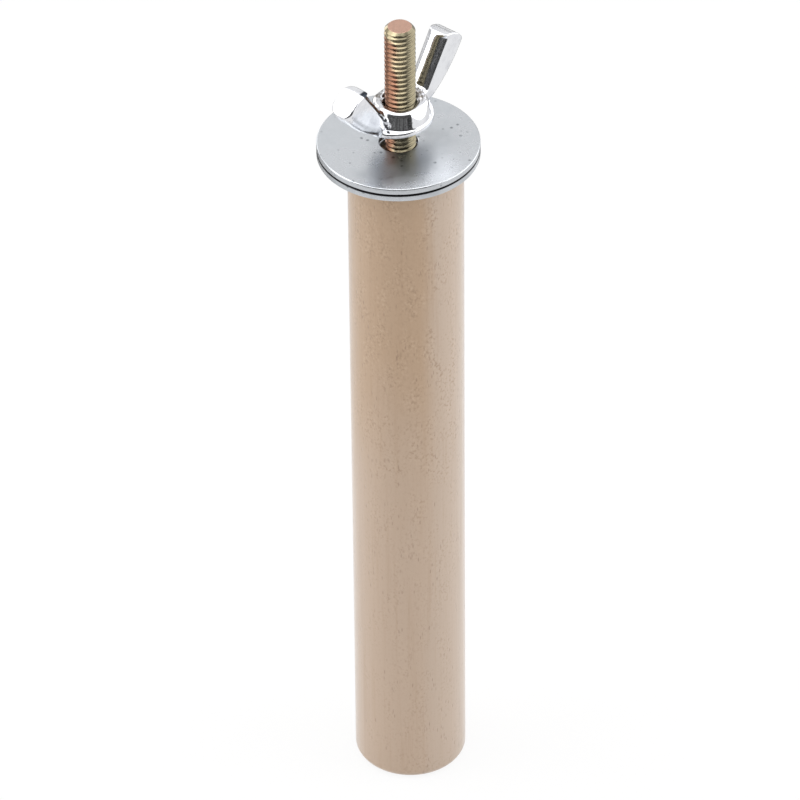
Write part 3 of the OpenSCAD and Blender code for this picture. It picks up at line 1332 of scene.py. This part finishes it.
@dataclass
class WingNut:
    """The cast wing nut: an oval flange, a hub and two wings, bored and threaded.

    The outer edge and the crease are points of a wing's side view, given as reach from the middle
    and height over the base. Pairs of depths lie below the wing's inner edge, and the far places
    lie across the wing.
    """

    axis: Pair
    base: float
    thread: Thread
    azimuth: float = 49.8
    half_span: float = 11.5
    height: float = 9.8
    outer_edge: tuple[Pair, ...] = (
        (5.0, 0.25), (6.35, 1.15), (7.45, 1.95), (8.5, 2.85),
        (9.5, 3.9), (10.5, 5.05), (11.42, 6.4), (12.4, 7.9),
    )
    crease: Pair = (7.7, 9.15)
    crease_overrun: float = 1.5
    left_lower: float = 0.5
    half_root: float = 3.7
    root_low: float = 0.25
    root_drop: float = 0.8
    end_bulge: float = 0.75
    crown: float = 0.19
    left_crown: float = 0.24
    crown_middle: float = 0.31
    crown_stop: float = -0.6
    crown_run: float = 0.6
    crown_depths: Pair = (2.6, 1.2)
    wing_shift: float = 0.45
    root_thick: float = 3
    end_thick: float = 3.3
    near_rounding: float = 0.3
    far_rounding: float = 1.1
    far_places: Pair = (-0.5, 0.7)
    outer_rounding: float = 1.2
    outer_depths: Pair = (1.2, 2.4)
    end_rounding: float = 0.22
    flange_half_length: float = 5.1
    flange_half_width: float = 4.05
    flange_height: float = 0.72
    flange_rounding: float = 0.15
    flange_draft: float = 0.08
    hub_radius: float = 3.95
    hub_top_radius: float = 3.5
    hub_height: float = 3.2
    hub_rounding: float = 0.55
    facet_tilt: float = 26
    facet_reach: float = 4.1
    facet_rounding: float = 0.12
    sink_radius: float = 2.65
    base_sink_radius: float = 2.4
    thread_slope: float = 0.8
    bore_rounding: float = 0.12
    fillet: float = 0.18
    wing_fillet: float = 0.4
    margin: float = 0.6
    step: float = 0.1
    finish: BrightPlating = BrightPlating()

    def flange(self, u: np.ndarray, v: np.ndarray, z: np.ndarray) -> np.ndarray:
        """Gives distances to the oval flange.

        Args:
            u: Places along the wings.
            v: Places across the wings.
            z: Heights above the nut's base.

        Returns:
            The distances.
        """
        length, width = self.flange_half_length, self.flange_half_width
        shift = (length ** 2 - width ** 2) / (2 * width)
        oval = np.hypot(u, np.abs(v) + shift) - (width + shift) + self.flange_draft * z
        half = self.flange_height / 2
        return rounded_slab(oval, np.abs(z - half) - half, self.flange_rounding)

    def hub(self, u: np.ndarray, v: np.ndarray, z: np.ndarray) -> np.ndarray:
        """Gives distances to the hub, a slight cone with a rounded top and a facet on each side.

        Args:
            u: Places along the wings.
            v: Places across the wings.
            z: Heights above the nut's base.

        Returns:
            The distances.
        """
        share = z / self.hub_height
        side = np.hypot(u, v) - (self.hub_radius + (self.hub_top_radius - self.hub_radius) * share)
        ends = np.maximum(z - self.hub_height, self.flange_rounding - z)
        cone = rounded_slab(side, ends, self.hub_rounding)
        tilt = math.radians(self.facet_tilt)
        facet = np.abs(v) * math.cos(tilt) + z * math.sin(tilt) - self.facet_reach
        return rounded_slab(cone, facet, self.facet_rounding)

    def wings(self, u: np.ndarray, v: np.ndarray, z: np.ndarray) -> np.ndarray:
        """Gives distances to both wings.

        Args:
            u: Places along the wings.
            v: Places across the wings.
            z: Heights above the nut's base.

        Returns:
            The distances.
        """
        reach = np.abs(u)
        root = np.array([self.half_root, self.hub_height])
        crease = np.array(self.crease)
        rise = crease - root
        beyond = root + rise * self.crease_overrun
        inner_low, inner_high = (0, self.root_low), (0, self.hub_height - self.root_drop)
        corners = [inner_low, *self.outer_edge, tuple(beyond), tuple(root), inner_high]
        side = polygon_distance(reach, z, corners)
        below = ((reach - root[0]) * rise[1] - (z - root[1]) * rise[0]) / np.hypot(*rise)
        lowered = rise / np.hypot(*rise) * self.left_lower
        end = np.where(u < 0, self.end_gap(reach, z, crease - lowered), self.end_gap(reach, z, crease))
        back = v - self.wing_shift
        crown = np.where(u < 0, self.left_crown, self.crown)
        drop = crown * np.maximum(self.crown_middle - back, self.crown_stop) ** 2
        side = side + drop * progress(end, 0, -self.crown_run) * progress(below, *self.crown_depths)
        far = progress(back, *self.far_places)
        rounding = self.near_rounding + (self.far_rounding - self.near_rounding) * far
        rounding = rounding + (self.outer_rounding - rounding) * progress(below, *self.outer_depths)
        half = (self.root_thick + (self.end_thick - self.root_thick) * reach / self.outer_edge[-2][0]) / 2
        return rounded_slab(rounded_slab(side, np.abs(back) - half, rounding), end, self.end_rounding)

    def end_gap(self, reach: np.ndarray, z: np.ndarray, crease: np.ndarray) -> np.ndarray:
        """Gives distances to a wing's arched end.

        Args:
            reach: Places along the wing.
            z: Heights above the nut's base.
            crease: Where the arch meets the inner edge.

        Returns:
            The distances, negative within the arch.
        """
        outer = np.array(self.outer_edge[-2])
        chord = crease - outer
        length = np.hypot(*chord)
        bend = length ** 2 / (8 * self.end_bulge) + self.end_bulge / 2
        out = np.array([chord[1], -chord[0]]) / length
        middle = (crease + outer) / 2 - out * (bend - self.end_bulge)
        ahead = (reach - middle[0]) * out[0] + (z - middle[1]) * out[1]
        aside = (reach - middle[0]) * out[1] - (z - middle[1]) * out[0]
        return np.hypot(np.maximum(ahead, 0), aside) - bend

    def bore(self, u: np.ndarray, v: np.ndarray, z: np.ndarray) -> np.ndarray:
        """Gives distances to the threaded hole and its countersinks.

        Args:
            u: Places along the wings.
            v: Places across the wings.
            z: Heights above the nut's base.

        Returns:
            The distances.
        """
        across = np.hypot(u, v)
        angle = np.arctan2(v, u) + math.radians(self.azimuth)
        hole = (across - self.thread.radius_at(z + self.base, angle)) * self.thread_slope
        # Both countersinks slope at 45 degrees
        slant = math.sqrt(0.5)
        top_sink = (across - self.sink_radius + self.hub_height - z) * slant
        top_sink = np.maximum(top_sink, z - self.hub_height - self.hub_rounding)
        base_sink = (across - self.base_sink_radius + z) * slant
        return np.minimum(hole, np.minimum(top_sink, base_sink))

    def body(self, u: np.ndarray, v: np.ndarray, z: np.ndarray) -> np.ndarray:
        """Gives distances to the whole nut.

        Args:
            u: Places along the wings.
            v: Places across the wings.
            z: Heights above the nut's base.

        Returns:
            The distances.
        """
        solid = rounded_union(self.flange(u, v, z), self.hub(u, v, z), self.fillet)
        solid = rounded_union(solid, self.wings(u, v, z), self.wing_fillet)
        return -rounded_union(-solid, self.bore(u, v, z), self.bore_rounding)

    def painted_reflection(self) -> PaintedReflectionStrip:
        """Gives where the left wing's painted dark reflection runs.

        Returns:
            The strip of painted reflection.
        """
        turn = math.radians(self.azimuth)
        out = np.array([-math.cos(turn), -math.sin(turn), 0])
        up = np.array([0, 0, 1])
        rise = np.array([self.crease[0] - self.half_root, self.crease[1] - self.hub_height])
        rise = rise / np.hypot(*rise)
        root = np.array([*self.axis, self.base + self.hub_height]) + out * self.half_root
        return PaintedReflectionStrip(
            root=tuple(root.tolist()),
            outwards=tuple(out.tolist()),
            below=tuple((out * rise[1] - up * rise[0]).tolist()),
            across=(-math.sin(turn), math.cos(turn), 0),
        )

    def build(self) -> bpy.types.Object:
        """Builds and dresses the wing nut.

        Returns:
            The piece.
        """
        out, side = self.half_span + self.margin, self.flange_half_width + self.margin
        low, high = (-out, -side, -self.margin), (out, side, self.height + self.margin)
        net = SurfaceNet(self.body, low, high, self.step)
        points, quads = net.mesh()
        turn = Matrix.Rotation(math.radians(self.azimuth), 3, "Z")
        points = points @ np.array(turn).T + np.array([*self.axis, self.base])
        piece = make_piece("wing_nut_casting", points, quads.tolist())
        top = (*self.axis, self.base + self.hub_height)
        finish = self.finish.material(top, self.hub_top_radius, self.painted_reflection())
        place_piece(piece, Node.WING_NUT, Body.WING_NUT, finish)
        return piece


@dataclass
class Studio:
    """The camera, floor, lamps and world."""

    lens: float = 313.1
    distance: float = 914.14
    elevation: float = 38.356
    roll: float = -0.552
    aim: Point = (-1.013, 0, 59.707)
    hardware: Point = (0, 0, 108)
    sensor: float = 36
    view_depths: Pair = (10, 10000)
    floor_size: float = 1200
    floor_white: float = 0.95
    floor_glow: float = 0.88
    card_columns: int = 32
    card_rows: int = 17
    card_mottle: Grain = Grain(60, detail=4)
    card_cover: Ramp = Ramp(0.35, 0.7)
    ambient: float = 0.8
    radiance: float = 1.5
    glow: float = 1.38

    def camera(self) -> None:
        """Puts the camera where the photograph was taken from."""
        data = bpy.data.cameras.new("camera")
        data.lens = self.lens
        data.sensor_width = self.sensor
        data.clip_start = self.view_depths[0] * MM
        data.clip_end = self.view_depths[1] * MM
        camera = bpy.data.objects.new("camera", data)
        bpy.context.scene.collection.objects.link(camera)
        tilt = math.radians(self.elevation)
        back = Vector((0, -math.cos(tilt), math.sin(tilt)))
        camera.rotation_mode = "QUATERNION"
        roll = Matrix.Rotation(math.radians(self.roll), 3, "Z").to_quaternion()
        camera.rotation_quaternion = (-back).to_track_quat("-Z", "Y") @ roll
        camera.location = (Vector(self.aim) + back * self.distance) * MM
        bpy.context.scene.camera = camera

    def floor(self) -> None:
        """Lays a white floor that keeps the object's shadow."""
        half = self.floor_size / 2
        corners = ((-half, -half), (half, -half), (half, half), (-half, half))
        points = np.array([(x, y, 0) for x, y in corners])
        floor = make_piece("floor", points, [(0, 1, 2, 3)])
        sheet = ShaderSheet("white_floor")
        diffuse = sheet.tree.nodes.new("ShaderNodeBsdfDiffuse")
        sheet.feed(diffuse.inputs["Color"], (self.floor_white,) * 3)
        glow = sheet.tree.nodes.new("ShaderNodeEmission")
        rays = sheet.tree.nodes.new("ShaderNodeLightPath")
        seen = sheet.sum_of(Sum.LARGER, rays.outputs["Is Camera Ray"], rays.outputs["Is Glossy Ray"])
        seen = sheet.sum_of(Sum.LARGER, seen, rays.outputs["Is Transmission Ray"])
        share = sheet.product(seen, self.floor_glow)
        mix = sheet.tree.nodes.new("ShaderNodeMixShader")
        sheet.feed(mix.inputs[0], share)
        sheet.tree.links.new(diffuse.outputs[0], mix.inputs[1])
        sheet.tree.links.new(glow.outputs[0], mix.inputs[2])
        sheet.tree.links.new(mix.outputs[0], sheet.output.inputs["Surface"])
        floor.data.materials.append(sheet.material)

    def lamp(self, name: str, place: Point, size: Pair, mirrored: bool) -> None:
        """Hangs a soft box that shines at the hardware.

        Args:
            name: The lamp's name.
            place: Where it hangs, in millimetres.
            size: Its width and height, in millimetres.
            mirrored: Whether it shows in metal only, or lights everything else.
        """
        data = bpy.data.lights.new(name, "AREA")
        data.shape = "RECTANGLE"
        data.size, data.size_y = size[0] * MM, size[1] * MM
        data.energy = (self.glow if mirrored else self.radiance) * math.pi * data.size * data.size_y
        lamp = bpy.data.objects.new(name, data)
        bpy.context.scene.collection.objects.link(lamp)
        lamp.location = Vector(place) * MM
        lamp.visible_diffuse = not mirrored
        lamp.visible_glossy = mirrored
        towards = Vector(self.hardware) - Vector(place)
        lamp.rotation_mode = "QUATERNION"
        lamp.rotation_quaternion = towards.to_track_quat("-Z", "Y")

    def card(self, name: str, across: Pair, up: Pair, reach: float, tones: Pair, bulge: float = 0) -> None:
        """Hangs a curved, mottled card round the hardware, which shows in metal only.

        Args:
            name: The card's name.
            across: Its first and last direction from the camera's side towards +X, in degrees.
            up: Its lowest and highest elevation, in degrees.
            reach: Its distance from the hardware, in millimetres.
            tones: Its darkest and lightest grey, from 0 to 1.
            bulge: How much further its last direction reaches halfway up, in degrees.
        """
        columns, rows = self.card_columns, self.card_rows
        points = []
        for column in range(columns):
            for row in range(rows):
                halfway = 1 - abs(2 * row / (rows - 1) - 1)
                last = across[1] + bulge * halfway
                turn = math.radians(across[0] + (last - across[0]) * column / (columns - 1))
                tilt = math.radians(up[0] + (up[1] - up[0]) * row / (rows - 1))
                level = math.cos(tilt)
                way = Vector((level * math.sin(turn), -level * math.cos(turn), math.sin(tilt)))
                points.append(Vector(self.hardware) + way * reach)
        card = make_piece(name, np.array(points), grid_faces(columns, rows, closed=False))
        sheet = ShaderSheet(name)
        diffuse = sheet.tree.nodes.new("ShaderNodeBsdfDiffuse")
        mottle = sheet.spread(sheet.noise(self.card_mottle), self.card_cover)
        sheet.feed(diffuse.inputs["Color"], sheet.blend(mottle, (tones[0],) * 3, (tones[1],) * 3))
        sheet.tree.links.new(diffuse.outputs[0], sheet.output.inputs["Surface"])
        card.data.materials.append(sheet.material)
        card.visible_camera = False
        card.visible_diffuse = False
        card.visible_shadow = False

    def world(self) -> None:
        """Makes the surroundings white, and a little softer as a light."""
        world = bpy.data.worlds.new("white_tent")
        bpy.context.scene.world = world
        world.use_nodes = True
        nodes, links = world.node_tree.nodes, world.node_tree.links
        nodes.clear()
        rays = nodes.new("ShaderNodeLightPath")
        soft = nodes.new("ShaderNodeMapRange")
        links.new(rays.outputs["Is Diffuse Ray"], soft.inputs["Value"])
        soft.inputs["To Min"].default_value = 1
        soft.inputs["To Max"].default_value = self.ambient
        light = nodes.new("ShaderNodeBackground")
        light.inputs["Color"].default_value = (1, 1, 1, 1)
        links.new(soft.outputs[0], light.inputs["Strength"])
        output = nodes.new("ShaderNodeOutputWorld")
        links.new(light.outputs[0], output.inputs[0])

    def build(self) -> None:
        """Sets up the whole studio."""
        self.camera()
        self.floor()
        self.world()
        self.lamp("left_box", (-380, 0, 260), (370, 460), mirrored=False)
        self.lamp("right_box", (400, -30, 200), (350, 450), mirrored=False)
        self.lamp("top_box", (0, 20, 520), (300, 200), mirrored=False)
        self.lamp("left_glow", (-262, -82, 230), (330, 460), mirrored=True)
        self.lamp("right_glow", (286, 10, 185), (620, 300), mirrored=True)
        self.lamp("top_glow", (-60, 0, 508), (640, 620), mirrored=True)
        self.lamp("back_glow", (-224, 332, 193), (170, 330), mirrored=True)
        self.card("dark_card", (-60, 42), (-24, 43), 240, (0.03, 0.16), bulge=22)
        self.card("back_card", (150, 203), (-50, 18), 130, (0.4, 0.9))
        self.card("back_card_left", (226, 262), (-50, 18), 130, (0.4, 0.9))
        self.card("back_card_under", (203, 226), (-50, -12), 130, (0.4, 0.9))
        self.card("low_card", (150, 215), (-55, -22), 120, (0.03, 0.12))
        bpy.context.scene.view_settings.view_transform = "Standard"


def node_box(node: Node) -> tuple[Vector, Vector]:
    """Gives a solid's box in millimetres.

    Args:
        node: The solid.

    Returns:
        Its lowest and highest corners.
    """
    low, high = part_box(node.value)
    return low / MM, high / MM


def threads(low: float, dowel_top: float, radius: float) -> tuple[Thread, Thread, Thread]:
    """Gives the threads of the bolt and the nut.

    Args:
        low: Height of the bolt's point.
        dowel_top: Height of the dowel's end.
        radius: The bolt's radius.

    Returns:
        The bolt's machine thread, its wood screw thread and the nut's thread.
    """
    crest_end = FLANK_SHARE + CREST_SHARE
    corners = (0, FLANK_SHARE, crest_end, crest_end + FLANK_SHARE)
    start = dowel_top - MACHINE_SUNK
    machine = Thread(start, MACHINE_PITCH, radius, MACHINE_DEPTH, corners, MACHINE_SOFTNESS)
    wood = Thread(low, WOOD_PITCH, radius, WOOD_DEPTH, WOOD_CORNERS, WOOD_SOFTNESS)
    return machine, wood, replace(machine, radius=radius + NUT_PLAY)


def main() -> None:
    """Builds the studio and every piece, in order."""
    logging.basicConfig(level=logging.INFO, format="%(message)s")
    Studio().build()
    bolt_low, bolt_high = node_box(Node.BOLT)
    dowel_low, dowel_high = node_box(Node.DOWEL)
    lower, upper = node_box(Node.LOWER_WASHER), node_box(Node.UPPER_WASHER)
    axis = ((bolt_low.x + bolt_high.x) / 2, (bolt_low.y + bolt_high.y) / 2)
    machine, wood, nut_thread = threads(bolt_low.z, dowel_high.z, (bolt_high.x - bolt_low.x) / 2)
    joint = ((lower[0].x + lower[1].x) / 2, (lower[0].y + lower[1].y) / 2, (lower[1].z + upper[0].z) / 2)
    washer_finish = WasherSteel().material(joint, (lower[1].x - lower[0].x) / 2)
    pieces = [
        Dowel(dowel_low, dowel_high, axis).build(),
        HangerBolt(axis, bolt_high.z, machine, wood).build(),
        Washer("washer_lower", Node.LOWER_WASHER, Body.LOWER_WASHER, *lower).build(washer_finish),
        Washer("washer_upper", Node.UPPER_WASHER, Body.UPPER_WASHER, *upper).build(washer_finish),
        WingNut(axis, node_box(Node.WING_NUT)[0].z, nut_thread).build(),
    ]
    for piece in pieces:
        log.info("%s: %d points, %d faces", piece.name, len(piece.data.vertices), len(piece.data.polygons))


if __name__ == "__main__":
    main()
